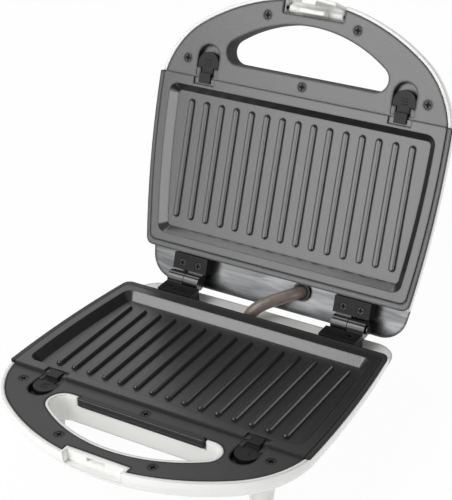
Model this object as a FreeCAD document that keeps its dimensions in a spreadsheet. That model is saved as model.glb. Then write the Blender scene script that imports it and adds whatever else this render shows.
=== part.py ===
import FreeCAD, Part
import math
import os
import re
import Sketcher

# Sandwich maker with a hinged lid and lift-out grill plates, standing open.
# Both halves share one frame: X along the hinge, Y to the rear, Z measured up from
# the plane where the closed halves meet, with the hinge axis as the origin line.
# Reaches are distances forward of the hinge axis. Drops are depths below the deck.
SIZES = {
    # Stance
    "open_angle": 108.8,
    "hinge_from_centre": 64.749,
    "deck_drop": 3.75,
    "foot_height": 7.0,
    "overrun": 4.0,
    "seam_gap": 0.5,
    # Plan outline of both shells
    "half_width": 114.5,
    "side_radius": 800.0,
    "shoulder_reach": 134.3,
    "shoulder_radius": 66.2,
    "front_radius": 150.0,
    "rear_overhang": 6.7,
    "rear_corner": 19.0,
    # Moulded shells, thinner at the nose
    "shell_depth": 36.0,
    "shell_wall": 2.2,
    "shell_band": 2.0,
    "shell_round": 16.0,
    "shell_turn_angle": 54.0,
    "round_step_count": 3,
    "corner_shrink_share": 0.4,
    "nose_reach": 130.0,
    "nose_angle": 35.0,
    "base_nose_depth": 20.0,
    "lid_nose_depth": 15.0,
    "shelf_drop": 8.0,
    "shelf_seat_share": 1.3,
    "boss_radius": 3.3,
    "tray_post_radius": 4.0,
    "tray_post_margin": 52.5,
    "tray_post_rear_margin": 35.5,
    "tray_post_front_margin": 28.0,
    # Frames round the plates
    "deck_inset": 2.5,
    "deck_thickness": 2.5,
    "border_rear": 18.8,
    "border_corner": 6.0,
    "border_width": 3.2,
    "border_rear_width": 4.6,
    "border_rise": 1.8,
    "end_corner": 1.5,
    # Grill plates
    "plate_gap": 0.4,
    "plate_length": 123.5,
    "plate_corner": 5.0,
    "rim_rise": 2.2,
    "rim_width": 6.0,
    "rim_front_width": 7.0,
    "dish_depth": 6.0,
    "dish_run": 5.2,
    "dish_corner": 7.0,
    "dish_floor_corner": 3.0,
    "plate_wall": 2.5,
    "dish_clearance": 0.6,
    "rib_side_margin": 24.0,
    "rib_pitch": 12.5,
    "rib_rear_margin": 18.6,
    "rib_front_margin": 17.1,
    "rib_width": 4.6,
    "rib_height": 2.3,
    "rib_crown": 0.8,
    "rib_draft_angle": 12.0,
    "rib_crown_angle": 45.0,
    # Handle openings
    "handle_set_back": 13.5,
    "handle_bridge": 19.5,
    "handle_lever_gap": 4.95,
    "handle_end": 9.0,
    "handle_wall": 2.0,
    "handle_gap": 0.4,
    "handle_lip_drop": 0.2,
    "grip_half": 47.0,
    "grip_depth": 1.7,
    "grip_height": 6.0,
    "grip_rise": 0.6,
    "grip_back": 0.8,
    # Deck screws
    "screw_side_margin": 20.4,
    "screw_side_set_back": 12.0,
    "screw_front": 35.0,
    "screw_front_margin": 16.5,
    "screw_mid_margin": 6.4,
    "screw_head": 2.8,
    "screw_head_rise": 1.2,
    "screw_shank": 1.4,
    "screw_length": 9.0,
    "screw_gap": 0.2,
    "screw_sink": 1.4,
    "screw_drive": 0.55,
    "screw_drive_depth": 0.6,
    # Plate release levers
    "lever_side_margin": 37.5,
    "lever_set_back": 1.5,
    "lever_length": 22.8,
    "lever_half": 8.75,
    "lever_pocket_drop": 4.6,
    "lever_cup_wall": 1.3,
    "lever_gap": 0.35,
    "lever_travel": 5.0,
    "lever_sink": 0.4,
    "lever_guide_half": 5.4,
    "lever_guide_length": 5.7,
    "lever_tongue_half": 4.6,
    "lever_tongue_bite": 3.8,
    "lever_tongue_height": 0.9,
    "notch_half": 8.6,
    "notch_length": 5.0,
    "notch_ledge": 0.9,
    # Hinges
    "leaf_side_margin": 48.5,
    "leaf_width": 28.0,
    "leaf_rear": 6.5,
    "leaf_gap": 0.5,
    "leaf_top_gap": 0.75,
    "knuckle_radius": 5.5,
    "knuckle_offset": 1.0,
    "knuckle_inner_offset": 11.5,
    "knuckle_gap": 0.4,
    "pin_radius": 2.0,
    "pin_clearance": 0.05,
    "pin_head": 3.2,
    "pin_head_length": 1.2,
    "leaf_screw_margin": 5.1,
    "leaf_screw_offset": 6.6,
    "leaf_screw_head": 2.6,
    "leaf_screw_shank": 1.5,
    "leaf_screw_tail": 3.0,
    # Catch in the base and clip in the lid
    "catch_half": 21.3,
    "catch_depth": 6.3,
    "catch_drop": 8.0,
    "catch_wall": 3.0,
    "catch_slot_gap": 1.0,
    "catch_slot_depth": 1.8,
    "clip_half": 20.8,
    "clip_side_gap": 3.0,
    "clip_well_depth": 13.0,
    "clip_well_drop": 11.0,
    "clip_pivot_margin": 3.5,
    "clip_pivot_drop": 6.0,
    "clip_barrel": 2.6,
    "clip_pin_radius": 1.2,
    "clip_inset": 1.5,
    "clip_wall": 2.5,
    "clip_top_drop": 7.0,
    "clip_reach_down": 11.0,
    "clip_web": 2.2,
    "clip_hook_half": 5.5,
    "clip_hook_reach": 3.2,
    "clip_hook_height": 1.8,
    "clip_hook_gap": 0.3,
    "clip_tab_half": 10.0,
    "clip_tab_margin": 0.7,
    "clip_tab_thickness": 3.2,
    "clip_tab_rise": 3.5,
    "clip_rest_angle": 10.0,
    # Heaters, reflectors and what hangs under them
    "heater_radius": 3.25,
    "heater_gap": 0.3,
    "heater_tail_side": 14.0,
    "heater_tail_gap": 0.6,
    "heater_side_margin": 36.5,
    "heater_rear_margin": 31.5,
    "heater_front_margin": 28.0,
    "heater_bend": 12.0,
    "tray_inset": 14.5,
    "tray_wall": 0.8,
    "tray_height": 5.5,
    "tray_corner": 8.0,
    "thermostat_radius": 8.0,
    "thermostat_height": 6.5,
    "thermostat_margin": 63.2,
    "thermostat_ear": 13.0,
    "thermostat_ear_half": 4.0,
    "thermostat_ear_height": 1.2,
    "terminal_side": 22.0,
    "terminal_margin": 39.2,
    "terminal_length": 30.0,
    "terminal_width": 14.0,
    "terminal_height": 10.0,
    "terminal_way_count": 3,
    "terminal_screw": 2.2,
    # Feet
    "foot_front_margin": 33.5,
    "foot_front_set_back": 1.0,
    "foot_rear_margin": 38.5,
    "foot_reach_rear": 18.3,
    "leg_top_radius": 10.0,
    "leg_radius": 7.5,
    "leg_height": 5.5,
    "foot_radius": 6.0,
    "foot_thickness": 3.0,
    "foot_gap": 0.2,
    # Lamps, cord gland and bridge lead
    "lamp_side": 9.0,
    "lamp_set_back": 25.0,
    "lamp_radius": 3.5,
    "lamp_rise": 0.8,
    "lamp_flange": 5.0,
    "lamp_flange_height": 1.5,
    "lamp_gap": 0.1,
    "gland_side": 38.0,
    "gland_drop": 20.0,
    "gland_radius": 5.5,
    "gland_bore": 3.6,
    "gland_inner_gap": 1.0,
    "gland_outer_reach": 1.5,
    "gland_gap": 0.1,
    "lead_radius": 4.5,
    "lead_base_side": 9.0,
    "lead_base_reach": 11.5,
    "lead_lid_side": 22.0,
    "lead_lid_reach": 11.5,
    "lead_gap": 0.3,
    "lead_rise": 14.0,
    "lead_fall": 14.0,
    "lead_bend_share": 0.45,
    "bush_wall": 1.6,
    "bush_rise": 1.6,
    "bush_gap": 0.1,
}

# Places worked out from the sizes
PLACES = {
    "front_reach": "shoulder_reach + front_radius"
                   " - sqrt((front_radius - shoulder_radius)^2 - (half_width - shoulder_radius)^2)",
    "plate_rear": "border_rear + border_rear_width + plate_gap",
    "plate_front": "plate_rear + plate_length",
    "rib_count": "2 * floor((half_width - rib_side_margin) / rib_pitch) + 1",
    "rib_start": "plate_rear + rib_rear_margin",
    "rib_end": "plate_front - rib_front_margin",
    "lever_side": "half_width - lever_side_margin",
    "lever_rear": "plate_front + lever_set_back",
    "lever_front": "lever_rear + lever_length",
    "lever_guide_front": "lever_rear + lever_guide_length",
    "lever_tongue_reach": "plate_front - lever_tongue_bite",
    "notch_reach": "plate_front - notch_length",
    "handle_rear": "plate_front + handle_set_back",
    "handle_front": "front_reach - handle_bridge",
    "handle_half": "lever_side - lever_half - handle_lever_gap",
    "handle_radius": "((handle_half - handle_end)^2 + (handle_front - handle_rear - handle_end)^2"
                     " - handle_end^2) / (2 * (handle_front - handle_rear - 2 * handle_end))",
    "screw_side": "half_width - screw_side_margin",
    "screw_side_reach": "plate_front + screw_side_set_back",
    "screw_front_reach": "front_reach - screw_front_margin",
    "screw_mid_reach": "handle_rear - screw_mid_margin",
    "leaf_side": "half_width - leaf_side_margin",
    "leaf_front": "border_rear - leaf_gap",
    "leaf_screw_reach": "leaf_rear + leaf_screw_margin",
    "knuckle_outer": "leaf_side + leaf_width / 2",
    "knuckle_split": "leaf_side + knuckle_offset",
    "knuckle_inner": "leaf_side - knuckle_inner_offset",
    "catch_face": "front_reach - catch_depth",
    "clip_well": "front_reach - clip_well_depth",
    "clip_pivot_reach": "clip_well + clip_pivot_margin",
    "clip_tab_rear": "clip_well + clip_tab_margin",
    "clip_tab_front": "clip_tab_rear + clip_tab_thickness",
    "heater_tail_reach": "border_rear + shell_wall + heater_tail_gap",
    "heater_side": "half_width - heater_side_margin",
    "heater_rear": "plate_rear + heater_rear_margin",
    "heater_front": "plate_front - heater_front_margin",
    "tray_post_side": "half_width - tray_post_margin",
    "tray_post_rear": "plate_rear + tray_post_rear_margin",
    "tray_post_front": "plate_front - tray_post_front_margin",
    "thermostat_reach": "plate_rear + thermostat_margin",
    "terminal_reach": "plate_rear + terminal_margin",
    "foot_side_front": "half_width - foot_front_margin",
    "foot_reach_front": "plate_front + foot_front_set_back",
    "foot_side_rear": "half_width - foot_rear_margin",
    "leg_top_drop": "base_nose_depth - shell_wall",
    "lamp_reach": "nose_reach - lamp_set_back",
    "gland_inner_reach": "border_rear + shell_wall + gland_inner_gap",
}

doc = FreeCAD.newDocument("sandwich_maker")
sheet = doc.addObject("Spreadsheet::Sheet", "Sizes")
for row, (name, size) in enumerate(SIZES.items(), start=1):
    sheet.set("A%d" % row, name)
    sheet.set("B%d" % row, str(size))
    sheet.setAlias("B%d" % row, name)
doc.recompute()

UP = FreeCAD.Vector(0, 0, 1)
ORIGIN_POINT = (-1, 1)
SKETCH_AXES = ("origin", "across", "along")
X_AXIS = -SKETCH_AXES.index("across")
Y_AXIS = -SKETCH_AXES.index("along")
CURVE_SPOTS = ("whole", "start", "end", "centre")
START = CURVE_SPOTS.index("start")
END = CURVE_SPOTS.index("end")
CENTRE = CURVE_SPOTS.index("centre")


def formula(text):
    """Write plain size names as references to the sheet's cells, and places as their formulas."""
    def cell(match):
        word = match.group(0)
        if word in PLACES:
            return "(%s)" % formula(PLACES[word])
        return "Sizes." + word if word in SIZES else word
    return re.sub(r"[a-z][a-z_0-9]*", cell, text)


def number(text):
    """Present value of a formula of sizes."""
    return float(sheet.evalExpression(formula(text)))


def bind(item, **formulas):
    """Tie properties of an object to formulas of sizes."""
    for prop, text in formulas.items():
        item.setExpression(prop, formula(text))
    return item


def at(item, x="0", y="0", z="0"):
    """Tie an object's position to formulas of sizes."""
    for axis, text in zip("xyz", (x, y, z)):
        if text != "0":
            item.setExpression("Placement.Base." + axis, formula(text))
    return item


# Sketches: every dimension is held by a formula of sizes


def hold(sketch, constraint, text):
    """Add a dimension and tie it to a formula."""
    index = sketch.addConstraint(constraint)
    sketch.setExpression("Constraints[%d]" % index, formula(text))


def pin(sketch, item, spot, x, y):
    """Hold one sketch point at two formulas."""
    for kind, text, axis in (("DistanceX", x, Y_AXIS), ("DistanceY", y, X_AXIS)):
        if text == "0":
            sketch.addConstraint(Sketcher.Constraint("PointOnObject", item, spot, axis))
        else:
            hold(sketch, Sketcher.Constraint(kind, *ORIGIN_POINT, item, spot, number(text)), text)


def sketch_on(body, name, level, role="XY_Plane"):
    """Sketch on one of the body's own planes, raised to a level."""
    sketch = body.newObject("Sketcher::SketchObject", name)
    plane = [item for item in body.Origin.OriginFeatures if item.Role == role][0]
    sketch.AttachmentSupport = [(plane, "")]
    sketch.MapMode = "FlatFace"
    if level != "0":
        sketch.setExpression("AttachmentOffset.Base.z", formula(level))
    return sketch


def rectangle(sketch, left, right, front, rear):
    """Upright rectangle; each side is a formula."""
    corners = ((left, front), (right, front), (right, rear), (left, rear))
    points = [FreeCAD.Vector(number(x), number(y), 0) for x, y in corners]
    first = sketch.GeometryCount
    for index, point in enumerate(points):
        sketch.addGeometry(Part.LineSegment(point, points[(index + 1) % len(points)]))
    for index in range(len(points)):
        following = first + (index + 1) % len(points)
        sketch.addConstraint(Sketcher.Constraint("Coincident", first + index, END, following, START))
    for index, kind in enumerate(("Horizontal", "Vertical", "Horizontal", "Vertical")):
        sketch.addConstraint(Sketcher.Constraint(kind, first + index))
    pin(sketch, first, START, left, front)
    pin(sketch, first + 2, START, right, rear)


def towards(centre, point, distance):
    """Point at a distance from the centre, in the direction of another point."""
    step = point.sub(centre)
    step.normalize()
    return centre.add(step.multiply(distance))


def arc(centre, radius, start, end):
    """Anticlockwise arc between two points of a circle."""
    first = math.atan2(start.y - centre.y, start.x - centre.x)
    last = math.atan2(end.y - centre.y, end.x - centre.x)
    if last <= first:
        last += 2 * math.pi
    return Part.ArcOfCircle(Part.Circle(centre, UP, radius), first, last)


def smooth_chain(sketch, pieces):
    """Closed outline whose lines and arcs run into each other smoothly."""
    first = sketch.GeometryCount
    for piece in pieces:
        sketch.addGeometry(piece)
    for index in range(len(pieces)):
        following = first + (index + 1) % len(pieces)
        sketch.addConstraint(Sketcher.Constraint("Tangent", first + index, END, following, START))
    return first


def hold_side(sketch, item, sign, inset):
    """Long bowed side, centred level with the shoulders."""
    across = sign + "(half_width - side_radius)"
    radius = "side_radius - (%s)" % inset
    pin(sketch, item, CENTRE, across, "-shoulder_reach")
    hold(sketch, Sketcher.Constraint("Radius", item, number(radius)), radius)


def side_meets(corner_y, corner_radius, inset):
    """Centre of a corner arc that runs smoothly out of the right-hand bowed side."""
    middle = FreeCAD.Vector(number("half_width - side_radius"), -number("shoulder_reach"), 0)
    radius = number("side_radius - (%s)" % inset)
    across = math.sqrt((radius - corner_radius) ** 2 - (corner_y - middle.y) ** 2)
    centre = FreeCAD.Vector(middle.x + across, corner_y, 0)
    return middle, radius, centre, towards(middle, centre, radius)


def mirrored(point):
    return FreeCAD.Vector(-point.x, point.y, 0)


def shell_outline(sketch, inset, rear, corner):
    """Plan outline: straight rear, bowed sides, round shoulders and an arched front."""
    rear_y, corner_radius, margin = number(rear), number(corner), number(inset)
    middle, side, corner_centre, join = side_meets(rear_y - corner_radius, corner_radius, inset)
    front = FreeCAD.Vector(0, -number("front_reach - front_radius"), 0)
    arch, reach, shoulder = number("front_radius"), number("half_width"), number("shoulder_radius")
    shoulder_centre = FreeCAD.Vector(reach - shoulder, middle.y, 0)
    widest = FreeCAD.Vector(reach - margin, middle.y, 0)
    spring = towards(front, shoulder_centre, arch - margin)
    corner_end = FreeCAD.Vector(corner_centre.x, rear_y, 0)
    first = smooth_chain(sketch, [
        Part.LineSegment(corner_end, mirrored(corner_end)),
        arc(mirrored(corner_centre), corner_radius, mirrored(corner_end), mirrored(join)),
        arc(mirrored(middle), side, mirrored(join), mirrored(widest)),
        arc(mirrored(shoulder_centre), shoulder - margin, mirrored(widest), mirrored(spring)),
        arc(front, arch - margin, mirrored(spring), spring),
        arc(shoulder_centre, shoulder - margin, spring, widest),
        arc(middle, side, widest, join),
        arc(corner_centre, corner_radius, join, corner_end)])
    rear_line, left_corner, left_side, left_shoulder, arch_item, right_shoulder, right_side, right_corner = \
        range(first, first + 8)
    sketch.addConstraint(Sketcher.Constraint("Horizontal", rear_line))
    hold(sketch, Sketcher.Constraint("DistanceY", *ORIGIN_POINT, rear_line, START, rear_y), rear)
    for item in (left_corner, right_corner):
        hold(sketch, Sketcher.Constraint("Radius", item, corner_radius), corner)
    hold_side(sketch, left_side, "-", inset)
    hold_side(sketch, right_side, "", inset)
    for item in (left_shoulder, right_shoulder):
        height = Sketcher.Constraint("DistanceY", *ORIGIN_POINT, item, CENTRE, middle.y)
        hold(sketch, height, "-shoulder_reach")
    pin(sketch, arch_item, CENTRE, "0", "-(front_reach - front_radius)")
    arch_radius = "front_radius - (%s)" % inset
    hold(sketch, Sketcher.Constraint("Radius", arch_item, number(arch_radius)), arch_radius)


def plate_outline(sketch, inset, rear, front, rear_corner, front_corner):
    """Plan outline with straight rear and front edges between the same bowed sides."""
    rear_y, front_y = number(rear), number(front)
    back, fore = number(rear_corner), number(front_corner)
    middle, side, back_centre, back_join = side_meets(rear_y - back, back, inset)
    fore_centre, fore_join = side_meets(front_y + fore, fore, inset)[2:]
    back_end = FreeCAD.Vector(back_centre.x, rear_y, 0)
    fore_end = FreeCAD.Vector(fore_centre.x, front_y, 0)
    first = smooth_chain(sketch, [
        Part.LineSegment(back_end, mirrored(back_end)),
        arc(mirrored(back_centre), back, mirrored(back_end), mirrored(back_join)),
        arc(mirrored(middle), side, mirrored(back_join), mirrored(fore_join)),
        arc(mirrored(fore_centre), fore, mirrored(fore_join), mirrored(fore_end)),
        Part.LineSegment(mirrored(fore_end), fore_end),
        arc(fore_centre, fore, fore_end, fore_join),
        arc(middle, side, fore_join, back_join),
        arc(back_centre, back, back_join, back_end)])
    rear_line, left_back, left_side, left_fore, front_line, right_fore, right_side, right_back = \
        range(first, first + 8)
    for item, height, text in ((rear_line, rear_y, rear), (front_line, front_y, front)):
        sketch.addConstraint(Sketcher.Constraint("Horizontal", item))
        hold(sketch, Sketcher.Constraint("DistanceY", *ORIGIN_POINT, item, START, height), text)
    for item in (left_back, right_back):
        hold(sketch, Sketcher.Constraint("Radius", item, back), rear_corner)
    for item in (left_fore, right_fore):
        hold(sketch, Sketcher.Constraint("Radius", item, fore), front_corner)
    hold_side(sketch, left_side, "-", inset)
    hold_side(sketch, right_side, "", inset)


def handle_outline(sketch, spread):
    """D-shaped hand opening, widened all round by a spread."""
    rear, front = "-(handle_rear - (%s))" % spread, "-(handle_front - handle_radius)"
    end, arch = "handle_end + (%s)" % spread, "handle_radius + (%s)" % spread
    rear_y, end_radius, arch_radius = number(rear), number(end), number(arch)
    middle = FreeCAD.Vector(0, number(front), 0)
    drop = rear_y - end_radius - middle.y
    across = math.sqrt((arch_radius - end_radius) ** 2 - drop ** 2)
    end_centre = FreeCAD.Vector(across, rear_y - end_radius, 0)
    join = towards(middle, end_centre, arch_radius)
    corner = FreeCAD.Vector(across, rear_y, 0)
    first = smooth_chain(sketch, [
        Part.LineSegment(corner, mirrored(corner)),
        arc(mirrored(end_centre), end_radius, mirrored(corner), mirrored(join)),
        arc(middle, arch_radius, mirrored(join), join),
        arc(end_centre, end_radius, join, corner)])
    rear_line, left_end, arch_item, right_end = range(first, first + 4)
    sketch.addConstraint(Sketcher.Constraint("Horizontal", rear_line))
    hold(sketch, Sketcher.Constraint("DistanceY", *ORIGIN_POINT, rear_line, START, rear_y), rear)
    for item in (left_end, right_end):
        hold(sketch, Sketcher.Constraint("Radius", item, end_radius), end)
    pin(sketch, arch_item, CENTRE, "0", front)
    hold(sketch, Sketcher.Constraint("Radius", arch_item, arch_radius), arch)


def finger_slot(sketch, side, half, rear, front):
    """Slot with a square end at the rear and a round end at the front."""
    x, width, back = number(side), number(half), number(rear)
    nose = number(front) + width
    left_back = FreeCAD.Vector(x - width, back, 0)
    left_nose = FreeCAD.Vector(x - width, nose, 0)
    right_nose = FreeCAD.Vector(x + width, nose, 0)
    right_back = FreeCAD.Vector(x + width, back, 0)
    first = sketch.GeometryCount
    sketch.addGeometry(Part.LineSegment(right_back, left_back))
    sketch.addGeometry(Part.LineSegment(left_back, left_nose))
    sketch.addGeometry(arc(FreeCAD.Vector(x, nose, 0), width, left_nose, right_nose))
    sketch.addGeometry(Part.LineSegment(right_nose, right_back))
    back_line, left_line, nose_arc, right_line = range(first, first + 4)
    sketch.addConstraint(Sketcher.Constraint("Coincident", back_line, END, left_line, START))
    sketch.addConstraint(Sketcher.Constraint("Coincident", right_line, END, back_line, START))
    sketch.addConstraint(Sketcher.Constraint("Tangent", left_line, END, nose_arc, START))
    sketch.addConstraint(Sketcher.Constraint("Tangent", nose_arc, END, right_line, START))
    sketch.addConstraint(Sketcher.Constraint("Vertical", left_line))
    sketch.addConstraint(Sketcher.Constraint("Horizontal", back_line))
    hold(sketch, Sketcher.Constraint("DistanceY", *ORIGIN_POINT, back_line, START, back), rear)
    pin(sketch, nose_arc, CENTRE, side, "%s + (%s)" % (front, half))
    hold(sketch, Sketcher.Constraint("Radius", nose_arc, width), half)


# Solids: padded and lofted bodies, plain primitives and booleans


def new_body(name):
    return doc.addObject("PartDesign::Body", name)


def pad(body, sketch, length, down=True):
    item = body.newObject("PartDesign::Pad", sketch.Name + "_pad")
    item.Profile = sketch
    item.Reversed = down
    return bind(item, Length=length)


def pocket(body, sketch, length):
    item = body.newObject("PartDesign::Pocket", sketch.Name + "_pocket")
    item.Profile = sketch
    return bind(item, Length=length)


def loft(body, sections, ruled, kind="Additive"):
    item = body.newObject("PartDesign::%sLoft" % kind, sections[0].Name + "_loft")
    item.Profile = sections[0]
    item.Sections = sections[1:]
    item.Ruled = ruled
    return item


def prism(name, top, depth, draw, *formulas):
    """Body padded straight down from a level, from one drawn outline."""
    body = new_body(name)
    sketch = sketch_on(body, name + "_outline", top)
    draw(sketch, *formulas)
    pad(body, sketch, depth)
    return body


def block(name, left, right, front, rear, bottom, top):
    """Box between six planes."""
    item = doc.addObject("Part::Box", name)
    bind(item, Length="(%s) - (%s)" % (right, left), Width="(%s) - (%s)" % (rear, front),
         Height="(%s) - (%s)" % (top, bottom))
    return at(item, left, front, bottom)


def rod(name, radius, x, y, bottom, top):
    """Upright round bar."""
    item = doc.addObject("Part::Cylinder", name)
    bind(item, Radius=radius, Height="(%s) - (%s)" % (top, bottom))
    return at(item, x, y, bottom)


def cross_rod(name, radius, left, right, y, z):
    """Round bar along X."""
    item = doc.addObject("Part::Cylinder", name)
    item.Placement = FreeCAD.Placement(FreeCAD.Vector(), FreeCAD.Rotation(FreeCAD.Vector(0, 1, 0), 90))
    bind(item, Radius=radius, Height="(%s) - (%s)" % (right, left))
    return at(item, left, y, z)


def rear_rod(name, radius, x, front, rear, z):
    """Round bar along Y."""
    item = doc.addObject("Part::Cylinder", name)
    item.Placement = FreeCAD.Placement(FreeCAD.Vector(), FreeCAD.Rotation(FreeCAD.Vector(1, 0, 0), -90))
    bind(item, Radius=radius, Height="(%s) - (%s)" % (rear, front))
    return at(item, x, front, z)


def fuse(name, items):
    item = doc.addObject("Part::MultiFuse", name)
    item.Shapes = items
    return item


def cut(name, base, tools):
    item = doc.addObject("Part::Cut", name)
    item.Base = base
    item.Tool = tools[0] if len(tools) == 1 else fuse(name + "_tools", tools)
    return item


def common(name, first, second):
    item = doc.addObject("Part::Common", name)
    item.Base = first
    item.Tool = second
    return item


def group(name, items):
    item = doc.addObject("Part::Compound", name)
    item.Links = items
    return item


def span(sign, near, far):
    """Left and right ends of a stretch on one side of the middle."""
    return (near, far) if sign > 0 else ("-(%s)" % far, "-(%s)" % near)


def side(sign, text):
    return text if sign > 0 else "-(%s)" % text


# Levels shared by both halves, as formulas of sizes
DECK = "-deck_drop"
UNDER_DECK = "(-deck_drop - deck_thickness)"
SHELF = "(-deck_drop - shelf_drop)"
BOTTOM = "(-deck_drop - shell_depth)"
ABOVE = "(-deck_drop + overrun)"
RIM_TOP = "(-deck_drop + rim_rise)"
DISH_FLOOR = "(-deck_drop + rim_rise - dish_depth)"
DISH_UNDER = "(-deck_drop + rim_rise - dish_depth - plate_wall)"
HEATER_AXIS = "(-deck_drop + rim_rise - dish_depth - plate_wall - heater_gap - heater_radius)"
TRAY_TOP = "(-deck_drop + rim_rise - dish_depth - plate_wall - 2 * heater_gap - 2 * heater_radius)"
TRAY_UNDER = "(%s - tray_wall)" % TRAY_TOP
LEAF_TOP = "-leaf_top_gap"
PLATE_INSET = "border_width + plate_gap"
DISH_INSET = "border_width + plate_gap + rim_width"
HANDLE_SEAT = "handle_wall + handle_gap"
DECK_SCREWS = (
    ("screw_side", "-screw_side_reach"), ("-screw_side", "-screw_side_reach"),
    ("screw_front", "-screw_front_reach"), ("-screw_front", "-screw_front_reach"),
    ("0", "-screw_mid_reach"))
TRAY_POSTS = (
    ("tray_post_side", "-tray_post_rear"), ("-tray_post_side", "-tray_post_rear"),
    ("tray_post_side", "-tray_post_front"), ("-tray_post_side", "-tray_post_front"))
FEET = (
    ("foot_side_front", "-foot_reach_front"), ("-foot_side_front", "-foot_reach_front"),
    ("foot_side_rear", "-foot_reach_rear"), ("-foot_side_rear", "-foot_reach_rear"))

BASE_POSE = FreeCAD.Placement(
    FreeCAD.Vector(0, sheet.hinge_from_centre, number("foot_height + shell_depth + deck_drop")),
    FreeCAD.Rotation())
LID_POSE = BASE_POSE.multiply(FreeCAD.Placement(
    FreeCAD.Vector(),
    FreeCAD.Rotation(FreeCAD.Vector(1, 0, 0), -sheet.open_angle)
    .multiply(FreeCAD.Rotation(FreeCAD.Vector(0, 1, 0), 180))))
POSES = {"base": BASE_POSE, "lid": LID_POSE}
NODES = {}


def keep(name, item, pose):
    """Name a finished sub-part and set it in its place."""
    item.Label = name
    item.Placement = pose
    NODES[name] = item


# Moulded shells: a bowl whose wall turns under, hollowed, with a hinge shelf at the rear


def nose_profile(sketch, wall, nose_depth):
    """Side profile of what is taken off below the nose, at a distance inside the outer skin."""
    shift = "(%s) * tan(nose_angle / 2)" % wall
    floor = "%s - shell_depth + (%s)" % (DECK, wall)
    roof = "%s - %s + (%s)" % (DECK, nose_depth, wall)
    low = ("-(nose_reach - %s - overrun / tan(nose_angle))" % shift, floor + " - overrun")
    high = ("-(nose_reach - %s + (shell_depth - %s) / tan(nose_angle))" % (shift, nose_depth), roof)
    ends = ("-front_reach - overrun", roof), ("-front_reach - overrun", floor + " - overrun")
    corners = (low, high) + ends
    points = [FreeCAD.Vector(number(along), number(up), 0) for along, up in corners]
    for index, point in enumerate(points):
        sketch.addGeometry(Part.LineSegment(point, points[(index + 1) % len(points)]))
    for index, (along, up) in enumerate(corners):
        following = (index + 1) % len(points)
        sketch.addConstraint(Sketcher.Constraint("Coincident", index, END, following, START))
        pin(sketch, index, START, along, up)


def bowl(name, wall, top, nose_depth):
    """Solid bowl form; the wall is how far it lies inside the outer skin."""
    body = new_body(name)
    corner = "rear_corner - corner_shrink_share * (%s)"
    turn = "(shell_round - %s)" % wall
    mouth = sketch_on(body, name + "_mouth", top)
    shell_outline(mouth, wall, "rear_overhang - " + wall, corner % wall)
    pad(body, mouth, "shell_band + (%s) - (%s)" % (top, DECK))
    sections = []
    for step in range(sheet.round_step_count + 1):
        angle = "shell_turn_angle * %d / round_step_count" % step
        inset = "(%s + %s * (1 - cos(%s)))" % (wall, turn, angle)
        drop = "(shell_band + %s * sin(%s))" % (turn, angle)
        sections.append(sketch_on(body, "%s_round_%d" % (name, step), "%s - %s" % (DECK, drop)))
        shell_outline(sections[-1], inset, "rear_overhang - " + inset, corner % inset)
    loft(body, sections, ruled=False)
    floor_drop = "(shell_depth - %s)" % wall
    floor_inset = "(%s + (%s - %s) * tan(shell_turn_angle))" % (inset, floor_drop, drop)
    floor = sketch_on(body, name + "_floor", "%s - %s" % (DECK, floor_drop))
    shell_outline(floor, floor_inset, "rear_overhang - " + floor_inset, corner % floor_inset)
    loft(body, [sections[-1], floor], ruled=True)
    side_view = sketch_on(body, name + "_nose", "0", "YZ_Plane")
    nose_profile(side_view, wall, nose_depth)
    pocket(body, side_view, "2 * (half_width + overrun)").Midplane = True
    return body


def leaf_screw_places(half):
    """Screws through the hinge leaves: two in each lid leaf, one in each base leaf."""
    offsets = ("leaf_side - leaf_screw_offset", "leaf_side + leaf_screw_offset")
    if half == "base":
        offsets = offsets[1:]
    return [side(sign, offset) for sign in (-1, 1) for offset in offsets]


def lead_hole_place(half):
    if half == "base":
        return "-lead_base_side", "-lead_base_reach"
    return "-lead_lid_side", "-lead_lid_reach"


def shell(half, form):
    """Outer casing of one half, with the openings that its fittings need."""
    seat = "shell_wall * shelf_seat_share"
    hollow = cut(half + "_hollow", form, [
        bowl(half + "_cavity", "shell_wall", ABOVE, half + "_nose_depth"),
        block(half + "_rear_step", "-half_width - overrun", "half_width + overrun",
              "-border_rear", "rear_overhang + overrun", SHELF, ABOVE)])
    fittings = [
        prism(half + "_shelf", SHELF, "shell_wall", plate_outline, seat, "rear_overhang - " + seat,
              "-border_rear", "rear_corner - " + seat, "end_corner"),
        block(half + "_back_wall", "-half_width + rear_corner", "half_width - rear_corner",
              "-border_rear - shell_wall", "-border_rear", SHELF + " - shell_wall", UNDER_DECK)]
    for index, (x, y) in enumerate(DECK_SCREWS):
        fittings.append(rod("%s_boss_%d" % (half, index), "boss_radius", x, y, BOTTOM, UNDER_DECK))
    for index, (x, y) in enumerate(TRAY_POSTS):
        fittings.append(rod("%s_post_%d" % (half, index), "tray_post_radius", x, y, BOTTOM, TRAY_UNDER))
    openings = []
    for index, (x, y) in enumerate(DECK_SCREWS):
        openings.append(rod("%s_pilot_%d" % (half, index), "screw_shank + screw_gap", x, y,
                            UNDER_DECK + " - screw_length", ABOVE))
    for index, x in enumerate(leaf_screw_places(half)):
        openings.append(rod("%s_leaf_hole_%d" % (half, index), "leaf_screw_shank + screw_gap", x,
                            "-leaf_screw_reach", SHELF + " - overrun", SHELF + " + overrun"))
    openings.append(rod(half + "_lead_hole", "lead_radius + lead_gap + bush_wall + bush_gap",
                        *lead_hole_place(half), SHELF + " - overrun", SHELF + " + overrun"))
    extra, more_openings, legs = base_features() if half == "base" else lid_features()
    inside = common(half + "_fittings", form, fuse(half + "_fitting_set", fittings + extra))
    solid = fuse(half + "_solid", [hollow, inside] + legs)
    keep(half + "_shell", cut(half + "_shell", solid, openings + more_openings), POSES[half])


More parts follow.
